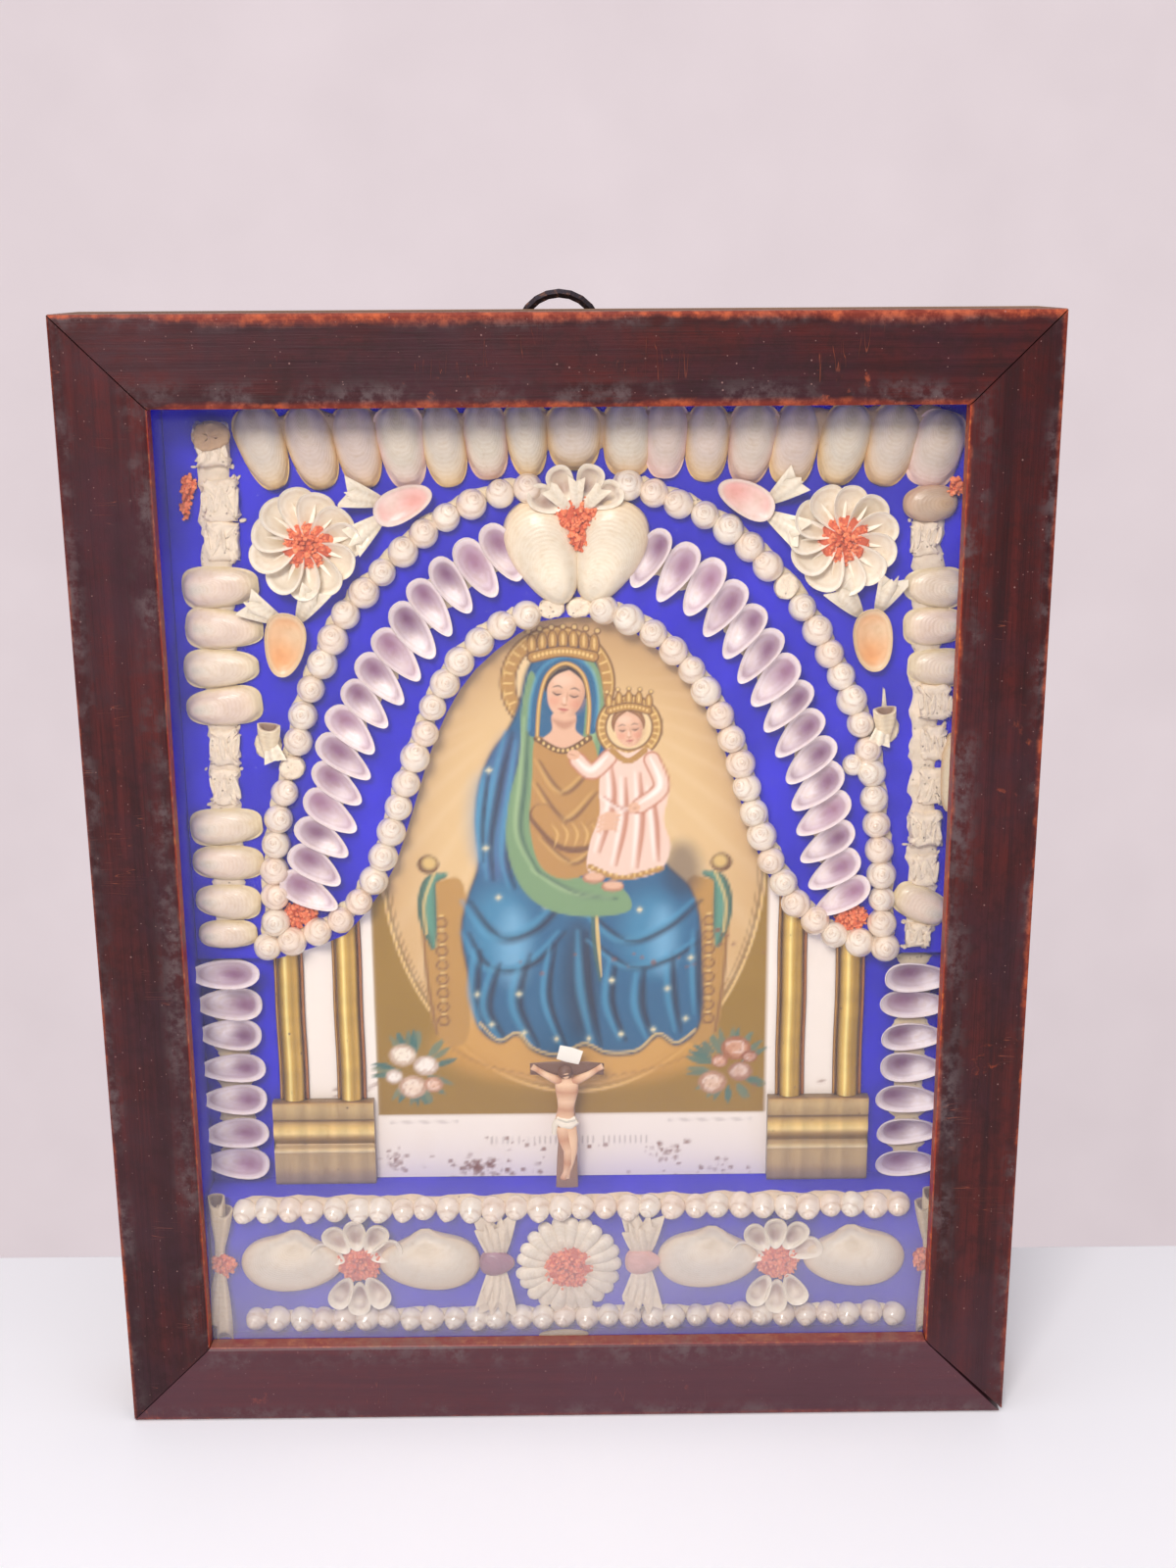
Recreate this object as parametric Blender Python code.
"""Glazed devotional shadow box: a mitred wooden frame on a shallow case, a blue-lined tray, and in it a
printed card, gilded columns, a shell-covered arch board and a step with shell flowers.

Metres, +Z up, front of the frame towards -Y. The origin is the bottom centre of the whole box.
Depths are measured back from the frame's front face."""
import math

import bmesh
import bpy
from mathutils import Vector

MM = 0.001
GAP = 0.3 * MM

# Frame, case and glass
FRAME_W = 381 * MM
FRAME_H = 470 * MM
RAIL_W = 35 * MM
LIP_DEPTH = 8 * MM
REBATE_W = 6 * MM
EDGE_ROUND = 1.2 * MM
OPEN_MITRE = 0.9 * MM
GLASS_THICK = 2.4 * MM
CASE_WALL = 10 * MM
BOX_DEPTH = 50 * MM
BACK_THICK = 4 * MM
BACK_RECESS = 6.2 * MM

# The tray: its inside starts this far from the box's sides, top and bottom. It sits a little to the right.
TRAY_SIDE = 31 * MM
TRAY_HEAD = 34 * MM
TRAY_FLOOR_Z = 31 * MM
TRAY_WALL = 2.5 * MM
TRAY_SHIFT = 3 * MM

# The step, the card and what stands between the step and the arch board
STEP_H = 66.4 * MM
STEP_ROOM = 8.4 * MM
STAGE_H = 106.1 * MM
CARD_THICK = 0.6 * MM
CARD_SIDE = 18.5 * MM
CARD_HEAD = 76.3 * MM
CARD_SHIFT = 2 * MM
BOARD_THICK = 5 * MM
PEDESTAL_W = 44 * MM
PEDESTAL_H = 38.5 * MM
PEDESTAL_DEPTH = 6 * MM
PEDESTAL_SIDE = 3.5 * MM
COLUMN_W = 13 * MM
COLUMN_DEPTH = 4 * MM
COLUMN_SPACING = 25 * MM
CRUCIFIX_H = 66.5 * MM
CRUCIFIX_THICK = 0.8 * MM

# Shell work
PEARL_D = 10.4 * MM
PEARL_H = 7.5 * MM
TOP_ROW_COUNT = 16
TOP_ROW_L = 32 * MM
TOP_ROW_LEAN = 17
SIDE_SHELL_L = 26.4 * MM
BEAN_H = 7.5 * MM
CUP_L = 26 * MM
CUP_H = 5.5 * MM
CUP_LEAN = 16
RELIEF_H = 9.5 * MM
EDGE_CLEAR = 2 * MM
ROW_CLEAR = 1.3 * MM
SIDE_LEAN = 6 * MM
ARCH_SHIFT = 3 * MM
ARCH_OVER_EDGE = 3 * MM
CROWN_REACH = 5 * MM
LOWER_CENTRE_X = 0.5 * MM

# Hanging ring
RING_R = 16 * MM
RING_WIRE_R = 2 * MM
RING_RISE = 8 * MM
LUG_SIZE = 8 * MM

TOTAL_DEPTH = BOX_DEPTH + GAP + 2 * RING_WIRE_R
FRONT_Y = -TOTAL_DEPTH / 2

GLASS_FACE = LIP_DEPTH + GAP
GLASS_BACK = GLASS_FACE + GLASS_THICK
RAIL_THICK = GLASS_BACK + GAP
CASE_FRONT = RAIL_THICK + GAP
BACK_FACE = BOX_DEPTH - BACK_RECESS - BACK_THICK
TRAY_BACK = BACK_FACE - GAP
PANEL_FACE = TRAY_BACK - TRAY_WALL
CARD_FACE = PANEL_FACE - GAP - CARD_THICK
BOARD_FACE = CARD_FACE - GAP - BOARD_THICK
STEP_FACE = GLASS_BACK + STEP_ROOM + 2 * GAP
STEP_DEPTH = PANEL_FACE - GAP - STEP_FACE

TRAY_W = FRAME_W - 2 * TRAY_SIDE
TRAY_LEFT = TRAY_SHIFT - TRAY_W / 2
TRAY_RIGHT = TRAY_SHIFT + TRAY_W / 2
TRAY_TOP_Z = FRAME_H - TRAY_HEAD
STEP_TOP_Z = TRAY_FLOOR_Z + STEP_H
CARD_FOOT_Z = STEP_TOP_Z + GAP
CARD_W = TRAY_W - 2 * (CUP_L + CARD_SIDE)
PEDESTAL_TOP_Z = CARD_FOOT_Z + PEDESTAL_H
PEDESTAL_SPREAD = TRAY_W / 2 - CUP_L - PEDESTAL_SIDE - PEDESTAL_W / 2
BOARD_BOTTOM_Z = STEP_TOP_Z + STAGE_H

TOP_ROW_Z = TRAY_TOP_Z - EDGE_CLEAR
ARCH_CENTRE_X = TRAY_SHIFT + ARCH_SHIFT
ARCH_HALF_W = TRAY_W / 2 - 0.834 * SIDE_SHELL_L - PEARL_D / 2 - ROW_CLEAR
ARCH_TOP_Z = TOP_ROW_Z - TOP_ROW_L + CROWN_REACH - PEARL_D / 2
ARCH_FOOT_Z = BOARD_BOTTOM_Z + ARCH_OVER_EDGE
ARCH_RISE = ARCH_TOP_Z - ARCH_FOOT_Z

FOOT_ROW_Z = TRAY_FLOOR_Z + 0.6 * PEARL_D
HEAD_ROW_Z = STEP_TOP_Z - 0.45 * PEARL_D
BAND_Z = (FOOT_ROW_Z + HEAD_ROW_Z) / 2
BAND_H = HEAD_ROW_Z - FOOT_ROW_Z - PEARL_D

# Flowers and other free forms are drawn in hundredths of the arch's rise or of the band's height, or of what
# their width allows where that is less
ARCH_UNIT = min(ARCH_RISE, 1.49 * ARCH_HALF_W) / 100
BAND_UNIT = min(BAND_H, 0.1414 * TRAY_W) / 100


def depth(back):
    """The Y of a depth measured back from the frame's front face."""
    return FRONT_Y + back


def material(name, colour, roughness, metallic=0.0, alpha=1.0):
    mat = bpy.data.materials.new(name)
    mat.use_nodes = True
    shader = mat.node_tree.nodes["Principled BSDF"]
    shader.inputs["Base Color"].default_value = (*colour, 1.0)
    shader.inputs["Roughness"].default_value = roughness
    shader.inputs["Metallic"].default_value = metallic
    shader.inputs["Alpha"].default_value = alpha
    return mat


def finish(name, bm, mat, smooth=False):
    """Turns all faces outward and puts the finished piece in the scene."""
    bmesh.ops.recalc_face_normals(bm, faces=bm.faces)
    for face in bm.faces:
        face.smooth = smooth
    mesh = bpy.data.meshes.new(name)
    bm.to_mesh(mesh)
    bm.free()
    mesh.materials.append(mat)
    obj = bpy.data.objects.new(name, mesh)
    bpy.context.scene.collection.objects.link(obj)
    return obj


def box(name, x0, x1, d0, d1, z0, z1, mat):
    """A plain board from x0 to x1, from depth d0 to d1 and from z0 to z1."""
    bm = bmesh.new()
    bmesh.ops.create_cube(bm, size=1)
    for v in bm.verts:
        v.co.x = x1 if v.co.x > 0 else x0
        v.co.y = depth(d1) if v.co.y > 0 else depth(d0)
        v.co.z = z1 if v.co.z > 0 else z0
    return finish(name, bm, mat)


def loft(name, loops, mat, smooth=False):
    """A closed solid through equal loops of points, with its two end loops as caps."""
    bm = bmesh.new()
    rings = [[bm.verts.new(p) for p in loop] for loop in loops]
    count = len(rings[0])
    for near, far in zip(rings, rings[1:]):
        for i in range(count):
            j = (i + 1) % count
            bm.faces.new((near[i], near[j], far[j], far[i]))
    bm.faces.new(rings[0][::-1])
    bm.faces.new(rings[-1])
    return finish(name, bm, mat, smooth)


def plate(name, outline, d0, d1, mat):
    """A flat piece cut to an outline of (x, z) points, from depth d0 to d1."""
    return loft(name, [[(x, depth(d), z) for x, z in outline] for d in (d0, d1)], mat)


def on_surface(surface, x, z, height):
    """A point that stands height in front of a surface, a gap clear of it."""
    return Vector((x, depth(surface - GAP - height), z))


def smooth_path(points, count):
    """count points, evenly spaced along a smooth curve through points."""
    dense = []
    ends = [points[0], *points, points[-1]]
    steps = 24
    for a, b, c, d in zip(ends, ends[1:], ends[2:], ends[3:]):
        for k in range(steps):
            t = k / steps
            dense.append(tuple(
                q + 0.5 * t * (r - p + t * (2 * p - 5 * q + 4 * r - s + t * (3 * q - p - 3 * r + s)))
                for p, q, r, s in zip(a, b, c, d)
            ))
    dense.append(points[-1])
    run = [0.0]
    for (x0, z0), (x1, z1) in zip(dense, dense[1:]):
        run.append(run[-1] + math.hypot(x1 - x0, z1 - z0))
    even, k = [], 0
    for i in range(count):
        want = run[-1] * i / (count - 1)
        while k < len(run) - 2 and run[k + 1] < want:
            k += 1
        t = (want - run[k]) / (run[k + 1] - run[k])
        even.append(tuple(p + (q - p) * t for p, q in zip(dense[k], dense[k + 1])))
    return even


def directions(path):
    """The unit direction of a path at each of its points."""
    found = []
    for i in range(len(path)):
        (x0, z0), (x1, z1) = path[max(i - 1, 0)], path[min(i + 1, len(path) - 1)]
        size = math.hypot(x1 - x0, z1 - z0)
        found.append(((x1 - x0) / size, (z1 - z0) / size))
    return found


# Section shapes across a row: (share of the half length, share of the height)
BEAD = ((-0.85, 0), (-1, 0.5), (0, 1), (1, 0.5), (0.85, 0))
BEAN = ((-1, 0), (-0.88, 0.65), (0, 1), (0.88, 0.65), (1, 0))
CUP = ((-0.75, 0), (-1, 1), (0, 0.5), (1, 1), (0.75, 0))


def row(name, surface, stations, shape, mat):
    """A row of shells stuck edge to edge. Each station is x, z, the unit axis of the shell, its half length
    and its height there."""
    loops = []
    for x, z, (ax, az), half, height in stations:
        reach = [(x + ax * half * u, z + az * half * u, height * h) for u, h in shape]
        loops.append([on_surface(surface, *point) for point in reach])
    return loft(name, loops, mat, smooth=True)


def bead_row(name, surface, path, count, mat):
    """Round shells, one after another along a path. The row is full at each bead and narrow between two."""
    points = smooth_path(path, 2 * count + 1)
    stations = []
    for i, ((x, z), (dx, dz)) in enumerate(zip(points, directions(points))):
        full = i % 2
        half = PEARL_D / 2 * (1.0 if full else 0.72)
        stations.append((x, z, (-dz, dx), half, PEARL_H * (1.0 if full else 0.6)))
    return row(name, surface, stations, BEAD, mat)


def turned(direction, degrees):
    c, s = math.cos(math.radians(degrees)), math.sin(math.radians(degrees))
    return (direction[0] * c - direction[1] * s, direction[0] * s + direction[1] * c)


def cup_arch(name, path, count, side, mat):
    """Shells lying hollow side out across a curved path. side is -1 on the left and 1 on the right."""
    points = smooth_path(path, 3 * count + 1)
    stations = []
    for i, ((x, z), (dx, dz)) in enumerate(zip(points, directions(points))):
        between = i % 3 == 0
        lean = CUP_LEAN * i / (3 * count)
        axis = turned((-dz, dx), lean * side)
        half = CUP_L / 2 * (0.7 if between else 1.0)
        stations.append((x, z, axis, half, CUP_H * (0.55 if between else 1.0)))
    return row(name, BOARD_FACE, stations, CUP, mat)


def side_row(name, surface, x_top, x_foot, z_top, slots, shape, mat):
    """A row down the side, from z_top. Each slot is (pitch, half length, height), from the top down. A
    negative height is a bare pad of plaster, waisted where a shell is lost; the others are fullest in their
    middle."""
    stations = []
    run = sum(slot[0] for slot in slots)
    z = z_top
    for pitch, half, height in slots:
        shell = height > 0
        for along, length, rise in SHELL_SLOT if shell else PAD_SLOT:
            at = z - pitch * along
            x = x_top + (x_foot - x_top) * (z_top - at) / run
            stations.append((x, at, (1.0, 0.0), half * length, abs(height) * rise))
        z -= pitch
    x, at, axis, half, height = stations[-1]
    stations.append((x_foot, z, axis, half * 0.9, height * 0.6))
    return row(name, surface, stations, shape, mat)


SHELL_SLOT = ((0.03, 0.7, 0.5), (0.3, 1, 1), (0.74, 1, 1))
PAD_SLOT = ((0.03, 0.95, 0.6), (0.5, 0.82, 1), (0.9, 1, 0.8))


def rosette(name, surface, cx, cz, count, rings, mat):
    """A flower as rings of points round a centre. Each ring is a function of the angle that gives (radius,
    height), from the base out and up to the middle, where the last ring closes on one point."""
    bm = bmesh.new()
    loops = []
    for ring in rings[:-1]:
        loop = []
        for i in range(count):
            angle = 2 * math.pi * i / count
            radius, height = ring(i, angle)
            x, z = cx + radius * math.cos(angle), cz + radius * math.sin(angle)
            loop.append(bm.verts.new(on_surface(surface, x, z, height)))
        loops.append(loop)
    for low, high in zip(loops, loops[1:]):
        for i in range(count):
            j = (i + 1) % count
            bm.faces.new((low[i], low[j], high[j], high[i]))
    top = bm.verts.new(on_surface(surface, cx, cz, rings[-1]))
    for i in range(count):
        bm.faces.new((loops[-1][i], loops[-1][(i + 1) % count], top))
    bm.faces.new(loops[0][::-1])
    return finish(name, bm, mat, smooth=True)


def dome(name, surface, outline, height, mat, levels=((1.0, 0.0), (0.94, 0.45), (0.62, 0.85))):
    """A domed shell on an outline of (x, z) points. Each level is a share of the outline and of the
    height."""
    cx = sum(p[0] for p in outline) / len(outline)
    cz = sum(p[1] for p in outline) / len(outline)
    bm = bmesh.new()
    loops = []
    for share, rise in levels:
        loops.append([
            bm.verts.new(on_surface(surface, cx + (x - cx) * share, cz + (z - cz) * share, height * rise))
            for x, z in outline
        ])
    count = len(outline)
    for low, high in zip(loops, loops[1:]):
        for i in range(count):
            j = (i + 1) % count
            bm.faces.new((low[i], low[j], high[j], high[i]))
    top = bm.verts.new(on_surface(surface, cx, cz, height))
    for i in range(count):
        bm.faces.new((loops[-1][i], loops[-1][(i + 1) % count], top))
    bm.faces.new(loops[0][::-1])
    return finish(name, bm, mat, smooth=True)


def egg(cx, cz, half_l, half_w, tilt, count=12, taper=0.15):
    """The outline of a bivalve: an oval, fuller towards its near end, turned by tilt degrees."""
    points = []
    for i in range(count):
        a = 2 * math.pi * i / count
        u = half_l * math.cos(a)
        w = half_w * math.sin(a) * (1 - taper * math.cos(a))
        dx, dz = turned((u, w), tilt)
        points.append((cx + dx, cz + dz))
    return points


# The frame

def rail(name, length, place, mat, end_gaps=(0.0, 0.0)):
    """A mitred rail. place turns (along, across from the outer edge, depth) into a point. end_gaps opens the
    mitre at either end, most at the outer corner."""
    r = EDGE_ROUND
    section = [
        (0, r), (0, RAIL_THICK), (RAIL_W - REBATE_W, RAIL_THICK), (RAIL_W - REBATE_W, LIP_DEPTH),
        (RAIL_W, LIP_DEPTH), (RAIL_W, r), (RAIL_W - r, 0.3 * r), (RAIL_W - 2 * r, 0),
        (r, 0), (0.3 * r, 0.3 * r),
    ]
    loops = []
    for end, extra in zip((-1, 1), end_gaps):
        loop = []
        for across, back in section:
            clear = GAP + extra * (1 - across / RAIL_W)
            loop.append(place(end * (length / 2 - across - clear), across, back))
        loops.append(loop)
    return loft(name, loops, mat)


def build_frame(wood):
    half_w, mid_z = FRAME_W / 2, FRAME_H / 2
    rail("rail_top", FRAME_W, lambda a, c, b: (a, depth(b), FRAME_H - c), wood)
    rail("rail_bottom", FRAME_W, lambda a, c, b: (a, depth(b), c), wood, (0.0, OPEN_MITRE))
    rail("rail_left", FRAME_H, lambda a, c, b: (-half_w + c, depth(b), mid_z + a), wood)
    rail("rail_right", FRAME_H, lambda a, c, b: (half_w - c, depth(b), mid_z + a), wood, (OPEN_MITRE, 0.0))


def build_case(wood, glass):
    half_w = FRAME_W / 2
    d0, d1 = CASE_FRONT, BOX_DEPTH
    inner_top = FRAME_H - CASE_WALL
    box("case_top", -half_w, half_w, d0, d1, inner_top, FRAME_H, wood)
    box("case_bottom", -half_w, half_w, d0, d1, 0, CASE_WALL, wood)
    side = (d0, d1, CASE_WALL + GAP, inner_top - GAP)
    box("case_left", -half_w, -half_w + CASE_WALL, *side, wood)
    box("case_right", half_w - CASE_WALL, half_w, *side, wood)
    inside = half_w - CASE_WALL - GAP
    box("back_board", -inside, inside, BACK_FACE, BACK_FACE + BACK_THICK, CASE_WALL + GAP, inner_top - GAP,
        wood)
    pane = RAIL_W - REBATE_W + GAP
    box("glass_pane", -half_w + pane, half_w - pane, GLASS_FACE, GLASS_BACK, pane, FRAME_H - pane, glass)


def build_tray(paper):
    """The blue-lined tray, open towards the glass."""
    w = TRAY_WALL
    rings = []
    for grow, d in ((w, TRAY_BACK), (w, CASE_FRONT), (0, CASE_FRONT), (0, PANEL_FACE)):
        x0, x1 = TRAY_LEFT - grow, TRAY_RIGHT + grow
        z0, z1 = TRAY_FLOOR_Z - grow, TRAY_TOP_Z + grow
        rings.append([(x, depth(d), z) for x, z in ((x0, z0), (x1, z0), (x1, z1), (x0, z1))])
    loft("blue_tray", rings, paper)


# The arch and what stands under it

# Half of each row from the crown to the foot, in hundredths of the arch's half width and of its rise
OUTER_ARCH = ((13.2, 100), (30.5, 96.5), (51.9, 87.8), (70.6, 74.2), (82.4, 59.4), (90.8, 42.2), (95.9, 24.8),
              (97.7, 9.5), (100, 0))
CUP_ARCH = ((19.8, 87.3), (39.3, 79.4), (51.9, 69.6), (62.3, 59.1), (70.5, 48.6), (76.3, 36.4), (80.9, 23.8),
            (86.3, 10.5))
INNER_ARCH = ((3.8, 75.5), (15.6, 73.6), (35.1, 63.2), (47.3, 49.4), (56.3, 31.5), (63.4, 18.4), (75.6, 6.9),
              (84, 3.8), (94.3, 2))


def on_arch(side, across, up):
    """A point at hundredths of the arch's half width from its middle and of its rise above its feet."""
    return ARCH_CENTRE_X + side * ARCH_HALF_W * across / 100, ARCH_FOOT_Z + ARCH_RISE * up / 100


def half_arch(points, side):
    return [on_arch(side, x, z) for x, z in points]


def offset_path(points, amount):
    return [(x - dz * amount, z + dx * amount) for (x, z), (dx, dz) in zip(points, directions(points))]


def board_edge(side):
    """The cut edge of the arch board, just inside the inner row of beads, from the crown to the foot."""
    edge = offset_path(smooth_path(half_arch(INNER_ARCH, side), 18), -side * PEARL_D * 0.45)
    foot = (edge[-1][0] + side * PEARL_D / 2, BOARD_BOTTOM_Z)
    return [(x, max(z, BOARD_BOTTOM_Z)) for x, z in edge[:-1]] + [foot]


def build_arch_board(paper):
    left, right = board_edge(-1), board_edge(1)
    x0, x1, top = TRAY_LEFT + GAP, TRAY_RIGHT - GAP, TRAY_TOP_Z - GAP
    outline = [(x0, BOARD_BOTTOM_Z), *left[::-1], *right, (x1, BOARD_BOTTOM_Z), (x1, top), (x0, top)]
    plate("arch_board", outline, BOARD_FACE, BOARD_FACE + BOARD_THICK, paper)


def lowest_edge(x0, x1):
    """The lowest point of the board's cut edge between x0 and x1."""
    edge = board_edge(-1 if x0 < ARCH_CENTRE_X else 1)
    heights = []
    for (xa, za), (xb, zb) in zip(edge, edge[1:]):
        for k in range(9):
            x, z = xa + (xb - xa) * k / 8, za + (zb - za) * k / 8
            if x0 <= x <= x1:
                heights.append(z)
    return max(min(heights, default=BOARD_BOTTOM_Z) - GAP, BOARD_BOTTOM_Z)


def build_card_and_step(card, paper):
    box("printed_card", CARD_SHIFT - CARD_W / 2, CARD_SHIFT + CARD_W / 2, CARD_FACE, CARD_FACE + CARD_THICK,
        CARD_FOOT_Z, TRAY_TOP_Z - CARD_HEAD, card)
    box("blue_step", TRAY_LEFT + GAP, TRAY_RIGHT - GAP, STEP_FACE, STEP_FACE + STEP_DEPTH,
        TRAY_FLOOR_Z + GAP, STEP_TOP_Z, paper)


def build_columns(gilt):
    """Faceted half columns, two on each side, standing on moulded blocks."""
    back = CARD_FACE - GAP
    half_facets = ((0.13, 1), (0.3, 0.85), (0.47, 0.45), (0.5, 0))
    facets = [(-u, h) for u, h in half_facets[::-1]] + list(half_facets)
    for side, name in ((-1, "left"), (1, "right")):
        middle = CARD_SHIFT + side * PEDESTAL_SPREAD
        for far, word in ((1, "outer"), (-1, "inner")):
            x = middle + side * far * COLUMN_SPACING / 2
            top = lowest_edge(x - COLUMN_W / 2 - GAP, x + COLUMN_W / 2 + GAP) - GAP
            loops = [
                [(x + u * COLUMN_W, depth(back - h * COLUMN_DEPTH), z) for u, h in facets]
                for z in (PEDESTAL_TOP_Z + GAP, top)
            ]
            loft(f"column_{name}_{word}", loops, gilt, smooth=True)
        moulding = ((0, 1), (0.35, 1), (0.6, 0.94), (0.85, 0.78), (0.95, 0.6), (0.86, 0.5), (1, 0.45),
                    (1, 0.4), (0.88, 0.36), (0.9, 0), (0, 0))
        loops = [
            [(middle + end * PEDESTAL_W / 2, depth(back - u * PEDESTAL_DEPTH), CARD_FOOT_Z + v * PEDESTAL_H)
             for u, v in moulding]
            for end in (-1, 1)
        ]
        loft(f"pedestal_{name}", loops, gilt)


# Right half from the top down, as shares of its height
CRUCIFIX = ((0, 1), (0.072, 0.98), (0.075, 0.9), (0.245, 0.91), (0.24, 0.78), (0.135, 0.76), (0.09, 0.7),
            (0.072, 0.63), (0.069, 0), (0, 0))


def both_halves(half, cx, cz, size):
    """The whole outline of a shape given by its right half, centred on cx, cz and scaled to size."""
    left = [(-x, z) for x, z in half[::-1] if x > 0]
    return [(cx + x * size, cz + z * size) for x, z in (*half, *left)]


def build_crucifix(card):
    """A die-cut paper crucifix that stands on the step: its cross, title slip and figure are one outline."""
    face = STEP_FACE + STEP_DEPTH * 0.35
    outline = both_halves(CRUCIFIX, LOWER_CENTRE_X, CARD_FOOT_Z, CRUCIFIX_H)
    plate("crucifix_cutout", outline, face, face + CRUCIFIX_THICK, card)


# The shell work on the arch board

def build_arch_rows(pearl, violet):
    for side, name in ((-1, "left"), (1, "right")):
        bead_row(f"beads_outer_{name}", BOARD_FACE, half_arch(OUTER_ARCH, side), 22, pearl)
        bead_row(f"beads_inner_{name}", BOARD_FACE, half_arch(INNER_ARCH, side), 20, pearl)
        cup_arch(f"cups_arch_{name}", half_arch(CUP_ARCH, side), 15, side, violet)


def build_top_row(shell):
    """Bean-shaped shells side by side along the top of the board, leaning in towards its middle. The two at
    the middle are the shortest."""
    x0 = TRAY_LEFT + SIDE_SHELL_L + SIDE_LEAN
    x1 = TRAY_RIGHT - EDGE_CLEAR - ARCH_OVER_EDGE
    pitch = (x1 - x0) / TOP_ROW_COUNT
    stations = []
    for i in range(TOP_ROW_COUNT):
        middle = i + 0.5 - TOP_ROW_COUNT / 2
        length = TOP_ROW_L * (1 - 0.28 * math.exp(-(middle / 2.2) ** 2))
        lean = math.radians(TOP_ROW_LEAN * middle / (TOP_ROW_COUNT / 2))
        axis = (math.sin(lean), math.cos(lean))
        for along, share, rise in SHELL_SLOT:
            x, half = x0 + pitch * (i + along), length / 2 * max(share, 0.8)
            stations.append((x, TOP_ROW_Z - length / 2, axis, half, BEAN_H * rise))
    x, z, axis, half, height = stations[-1]
    stations.append((x1, z, axis, half * 0.7, height * 0.5))
    row("shells_top", BOARD_FACE, stations, BEAN, shell)


# From the top down: the share of the row's run, and the length and height as shares of a whole shell. A
# negative height is a bare pad of plaster.
LEFT_SLOTS = ((23, 0.6, -0.93), (18.5, 0.68, -0.53), (17.5, 0.64, -0.53), (17.5, 1, 1), (16.5, 1, 1),
              (16, 1, 1), (17, 1, 1), (17.5, 0.6, -0.53), (16.5, 0.6, -0.53), (16, 1, 1), (16.5, 0.98, 1),
              (16, 0.87, 1), (14, 0.78, 1))
RIGHT_SLOTS = ((14.5, 0.83, 0.87), (17, 0.57, -0.53), (18.5, 0.91, 1), (16.5, 0.91, 1), (15.5, 0.91, 1),
               (16, 0.72, -0.6), (18.5, 0.6, -0.53), (19, 0.6, -0.53), (18, 0.72, -0.67), (16.5, 0.57, -0.53),
               (14, 0.78, 1), (12, 0.55, -0.67))


def scaled_slots(slots, run, length, height):
    whole = sum(slot[0] for slot in slots)
    return [(run * pitch / whole, length / 2 * share, height * rise) for pitch, share, rise in slots]


def build_side_rows(shell, violet):
    """White shells down each side of the board, with bare plaster where some are lost, and violet ones
    below."""
    foot_z = BOARD_BOTTOM_Z + EDGE_CLEAR + ARCH_OVER_EDGE
    left_x = TRAY_LEFT + SIDE_SHELL_L / 2 + ROW_CLEAR
    right_x = TRAY_RIGHT - 0.91 * SIDE_SHELL_L / 2 - ROW_CLEAR / 2
    left_top, right_top = TOP_ROW_Z - ARCH_OVER_EDGE, TOP_ROW_Z - TOP_ROW_L - EDGE_CLEAR / 2
    for name, x_top, x_foot, top, slots in (
        ("shells_left", left_x + SIDE_LEAN, left_x, left_top, LEFT_SLOTS),
        ("shells_right", right_x - SIDE_LEAN / 4, right_x, right_top, RIGHT_SLOTS),
    ):
        slots = scaled_slots(slots, top - foot_z, SIDE_SHELL_L, BEAN_H)
        side_row(name, BOARD_FACE, x_top, x_foot, top, slots, BEAN, shell)
    top = BOARD_BOTTOM_Z - GAP
    cups = scaled_slots([(1, 0.97, 1)] * 7, top - STEP_TOP_Z - GAP, CUP_L, CUP_H)
    for name, x in (("cups_side_left", TRAY_LEFT + CUP_L / 2), ("cups_side_right", TRAY_RIGHT - CUP_L / 2)):
        side_row(name, PANEL_FACE, x, x, top, cups, CUP, violet)


def petal_wave(count, deep):
    """A scalloped edge: 1 at the tip of each of count petals, less between two."""
    return lambda angle: 1 - deep * abs(math.sin(count * angle / 2)) ** 3


def build_corner_flower(name, side, shell):
    """Ten cupped petals that overlap one way round, with coral in the middle."""
    petals, per_petal = 10, 3
    wave = petal_wave(petals, 0.14)
    radius = 11.1 * ARCH_UNIT

    def lift(i):
        return RELIEF_H * (0.42, 0.68, 0.56)[i % per_petal]

    rings = [
        lambda i, a: (0.8 * radius * wave(a), 0),
        lambda i, a: (radius * wave(a), lift(i)),
        lambda i, a: (0.6 * radius, 0.7 * lift(i)),
        lambda i, a: (0.34 * radius, 0.8 * RELIEF_H),
        RELIEF_H,
    ]
    cx, cz = on_arch(side, 81.7, 88.7)
    rosette(name, BOARD_FACE, cx, cz, petals * per_petal, rings, shell)


# Outlines in hundredths about a middle. Those of a pair are the right half, from the top down.
BUD = ((6.1, 0), (4.4, 2.4), (0, 3.2), (-3.6, 2.4), (-6.4, 4.6), (-8.2, 3.1), (-6.7, 0.3), (-7.9, -2.8),
       (-5.6, -4.4), (-3.1, -2.4), (0, -3.2), (4.4, -2.4))
HEART_VALVE = ((0, -9.2), (3.1, -8.7), (6.7, -5.6), (11, -0.5), (13.5, 5.1), (12.5, 8.2), (8.7, 9), (5.1, 6.7),
               (0, 1))
HEART_CREST = ((0, 14.6), (2.6, 14.8), (5.6, 14.1), (7.9, 12.3), (7.7, 10.8), (4.9, 9), (0, 3.1))
STEP_FLOWER = ((0, 48.8), (14.4, 49.4), (17.7, 44.3), (27.7, 46.6), (36.6, 37.7), (33.3, 29.9),
               (18.6, 14.4), (16.9, 3.3), (17.7, -7.8), (25.5, -25.5), (23.3, -36.6), (13.3, -41),
               (8.9, -46.6), (0, -47.2))
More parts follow.
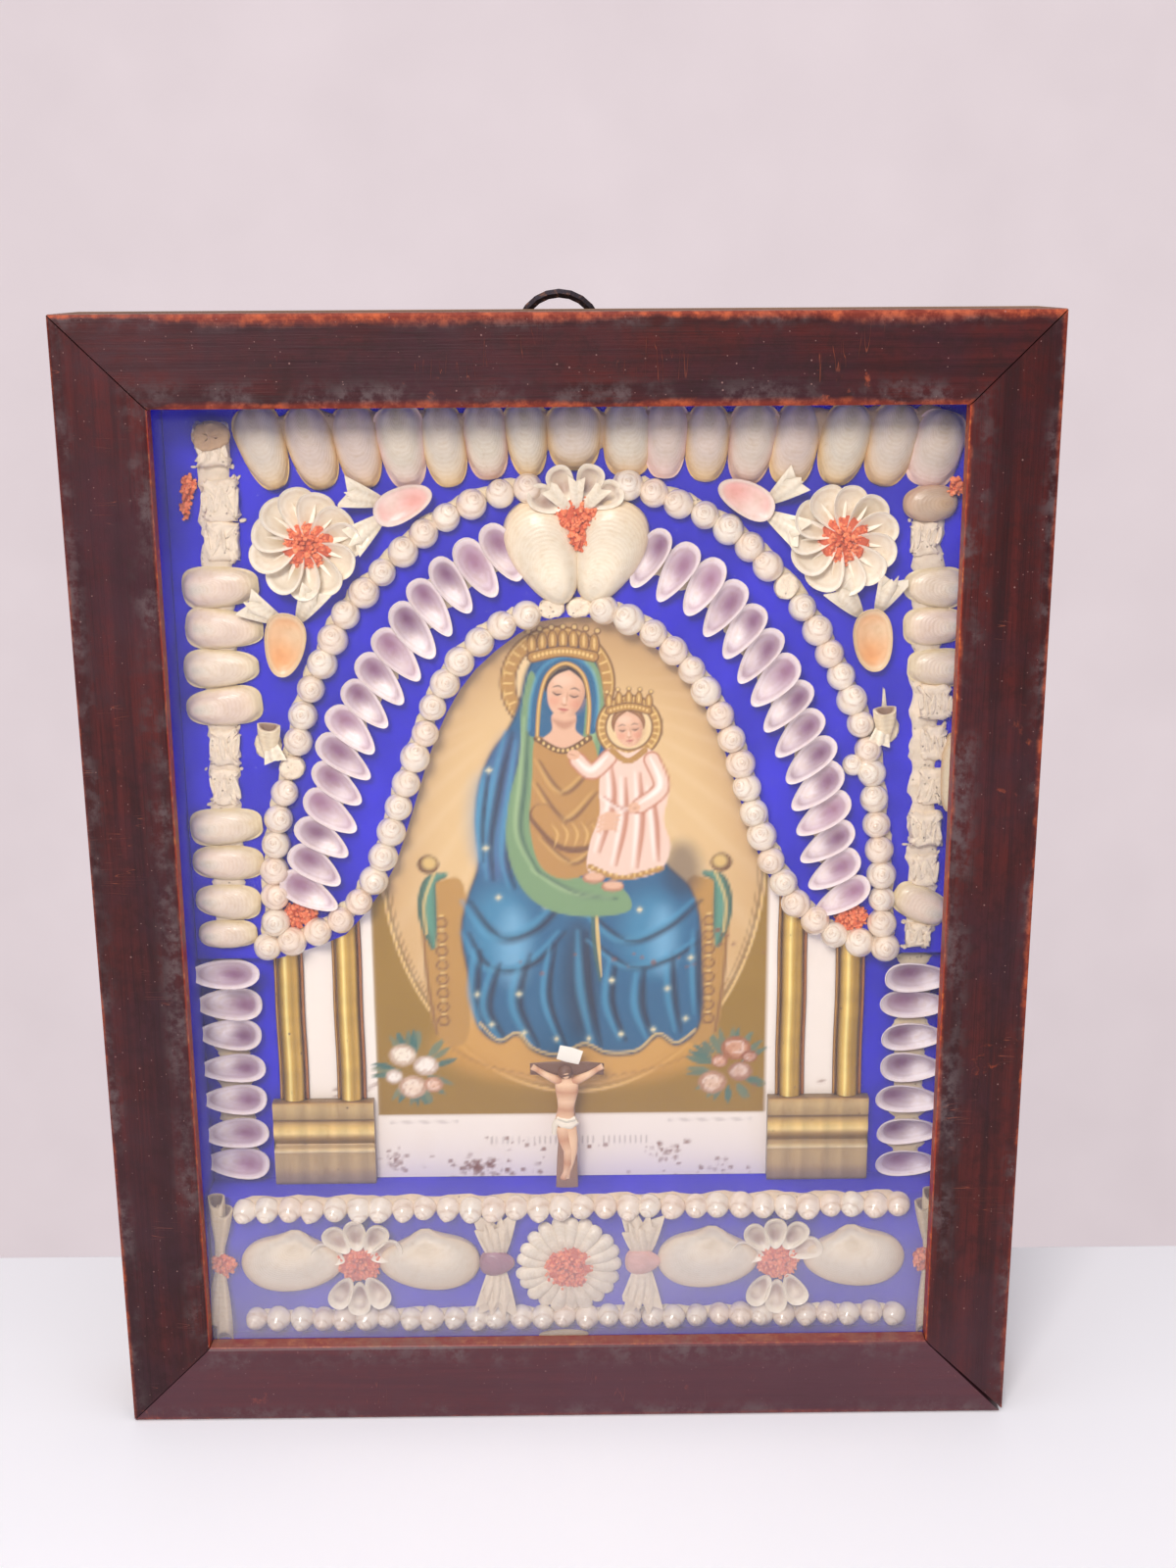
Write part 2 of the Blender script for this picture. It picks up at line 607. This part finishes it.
BOW = ((0, 48.8), (17.7, 49.2), (21.1, 41), (16.9, 27.7), (14, 14.4), (14, -7.8), (17.3, -23.3), (21.7, -34.4),
       (17.7, -42.1), (0, -42.1))
END_FLOWER = ((0, 80), (6.7, 73), (8.9, 55), (7.1, 18), (9.3, 0), (7.1, -18), (8.9, -55), (8, -69),
              (0, -73))
PETALS = ((0.9, 0), (1, 0.55), (0.5, 0.6), (0.32, 1))
BUD_PLACES = (("pink", 51.9, 95.7, 22), ("amber", 90.8, 67.6, -90))


def build_buds(side, name, mats):
    """A pink and an amber shell beside each corner flower, each with two small leaves at its foot."""
    for (word, across, up, tilt), mat in zip(BUD_PLACES, mats):
        cx, cz = on_arch(side, across, up)
        outline = []
        for u, v in BUD:
            dx, dz = turned((u * ARCH_UNIT, v * ARCH_UNIT), tilt)
            outline.append((cx - side * dx, cz + dz))
        dome(f"bud_{word}_{name}", BOARD_FACE, outline, 0.63 * RELIEF_H, mat)


def build_heart(shell):
    """Two big valves that meet as a heart, and a crest of small cups and coral in the notch between them."""
    cx, cz = on_arch(1, 0, 87.8)
    for side, name in ((-1, "left"), (1, "right")):
        outline = [(cx + side * (GAP + x * ARCH_UNIT), cz + z * ARCH_UNIT) for x, z in HEART_VALVE]
        dome(f"heart_valve_{name}", BOARD_FACE, outline, 0.95 * RELIEF_H, shell)
    dome("heart_crest", BOARD_FACE, both_halves(HEART_CREST, cx, cz, ARCH_UNIT), RELIEF_H, shell)


def build_small_shells(pearl, coral):
    height = 0.63 * RELIEF_H
    for side, name in ((-1, "left"), (1, "right")):
        shell = egg(*on_arch(side, 97.3, 47.9), 4.6 * ARCH_UNIT, 2.2 * ARCH_UNIT, -90, 8)
        dome(f"side_shell_{name}", BOARD_FACE, shell, height, pearl)
        tuft = egg(*on_arch(side, 90.8, 7.9), 2.3 * ARCH_UNIT, 1.5 * ARCH_UNIT, -side * 20, 8)
        dome(f"coral_foot_{name}", BOARD_FACE, tuft, height, coral)


# The shell work on the step

def build_long_shells(side, name, height, shell):
    """An ivory valve on either side of a step flower, its pointed end towards the flower."""
    for across, inner, word in ((37.7, True, "inner"), (77, False, "outer")):
        x = LOWER_CENTRE_X + side * TRAY_W / 2 * across / 100
        tilt = 0 if inner == (side > 0) else 180
        outline = egg(x, BAND_Z + 5.5 * BAND_UNIT, 47.2 * BAND_UNIT, 31 * BAND_UNIT, tilt, 14)
        dome(f"long_shell_{name}_{word}", STEP_FACE, outline, height, shell)


def build_band(pearl, shell):
    """Two bead rows along the step, and between them flowers, long shells, bows and a daisy."""
    x0, x1 = TRAY_LEFT + 31 * BAND_UNIT, TRAY_RIGHT - 31 * BAND_UNIT
    for name, z in (("beads_step_top", HEAD_ROW_Z), ("beads_step_foot", FOOT_ROW_Z)):
        bead_row(name, STEP_FACE, [(x0, z), (x1, z)], 28, pearl)
    full, low = STEP_ROOM, 0.83 * STEP_ROOM
    for side, name in ((-1, "left"), (1, "right")):
        build_long_shells(side, name, full, shell)
        x = LOWER_CENTRE_X + side * TRAY_W / 2 * 0.574
        outline = both_halves(STEP_FLOWER, x, BAND_Z, BAND_UNIT)
        dome(f"flower_step_{name}", STEP_FACE, outline, full, shell, PETALS)
        x = LOWER_CENTRE_X + side * TRAY_W / 2 * 0.197
        dome(f"bow_{name}", STEP_FACE, both_halves(BOW, x, BAND_Z, BAND_UNIT), low, shell, PETALS)
        x = (TRAY_LEFT if side < 0 else TRAY_RIGHT) - side * 11 * BAND_UNIT
        outline = both_halves(END_FLOWER, x, BAND_Z + 4.5 * BAND_UNIT, BAND_UNIT)
        dome(f"flower_end_{name}", STEP_FACE, outline, low, shell, PETALS)
    wave = petal_wave(18, 0.12)
    radius = 47.7 * BAND_UNIT
    rings = [
        lambda i, a: (0.9 * radius * wave(a), 0),
        lambda i, a: (radius * wave(a), 0.65 * STEP_ROOM),
        lambda i, a: (0.47 * radius, 0.54 * STEP_ROOM),
        lambda i, a: (0.35 * radius, 0.86 * STEP_ROOM),
        STEP_ROOM,
    ]
    rosette("daisy_step", STEP_FACE, LOWER_CENTRE_X, BAND_Z, 36, rings, shell)


# The iron hanging ring behind the top

def build_hanging_ring(iron):
    """A wire ring that stands up behind the top board, with two lugs that nail it there."""
    cz = FRAME_H + RING_RISE - RING_R - RING_WIRE_R
    cy = depth(BOX_DEPTH + GAP + RING_WIRE_R)
    bm = bmesh.new()
    around, sides = 22, 6
    rings = []
    for i in range(around):
        a = 2 * math.pi * i / around
        ring = []
        for k in range(sides):
            b = 2 * math.pi * (k + 0.5) / sides
            r = RING_R + RING_WIRE_R * math.cos(b)
            ring.append(bm.verts.new((r * math.sin(a), cy + RING_WIRE_R * math.sin(b), cz + r * math.cos(a))))
        rings.append(ring)
    for i in range(around):
        near, far = rings[i], rings[(i + 1) % around]
        for k in range(sides):
            m = (k + 1) % sides
            bm.faces.new((near[k], near[m], far[m], far[k]))
    ring = finish("hanging_ring", bm, iron, smooth=True)
    lug_z = FRAME_H - CASE_WALL / 2
    lug_x = math.sqrt(max(RING_R ** 2 - (lug_z - cz) ** 2, RING_WIRE_R ** 2)) + LUG_SIZE * 0.3
    for side, name in ((-1, "left"), (1, "right")):
        lug = box(f"lug_cutter_{name}", side * lug_x - LUG_SIZE / 2, side * lug_x + LUG_SIZE / 2,
                  BOX_DEPTH + GAP * 1.2, BOX_DEPTH + GAP + RING_WIRE_R * 1.1,
                  lug_z - LUG_SIZE / 2, lug_z + LUG_SIZE / 2, iron)
        lug.hide_render = True
        lug.display_type = "WIRE"
        join = ring.modifiers.new(f"lug_{name}", "BOOLEAN")
        join.operation = "UNION"
        join.solver = "EXACT"
        join.object = lug


def main():
    for obj in list(bpy.data.objects):
        bpy.data.objects.remove(obj)
    wood = material("mahogany_stain", (0.13, 0.03, 0.025), 0.4)
    deal = material("plain_deal", (0.32, 0.2, 0.12), 0.75)
    glass = material("old_glass", (0.95, 0.97, 0.98), 0.03, alpha=0.1)
    paper = material("blue_paper", (0.05, 0.05, 0.62), 0.6)
    card = material("printed_card", (0.66, 0.55, 0.36), 0.6)
    gilt = material("gilt", (0.6, 0.42, 0.15), 0.35, 0.85)
    shell = material("white_shell", (0.74, 0.68, 0.58), 0.4)
    pearl = material("pearl_shell", (0.8, 0.76, 0.7), 0.2)
    violet = material("violet_shell", (0.45, 0.28, 0.4), 0.35)
    blush = material("pink_shell", (0.8, 0.45, 0.4), 0.35)
    amber = material("amber_shell", (0.8, 0.5, 0.22), 0.35)
    coral = material("coral", (0.75, 0.2, 0.1), 0.6)
    iron = material("black_iron", (0.06, 0.05, 0.06), 0.5, 0.8)

    build_frame(wood)
    build_case(deal, glass)
    build_tray(paper)
    build_arch_board(paper)
    build_card_and_step(card, paper)
    build_columns(gilt)
    build_crucifix(card)
    build_arch_rows(pearl, violet)
    build_top_row(shell)
    build_side_rows(shell, violet)
    for side, name in ((-1, "left"), (1, "right")):
        build_corner_flower(f"flower_corner_{name}", side, shell)
        build_buds(side, name, (blush, amber))
    build_heart(shell)
    build_small_shells(pearl, coral)
    build_band(pearl, shell)
    build_hanging_ring(iron)


main()
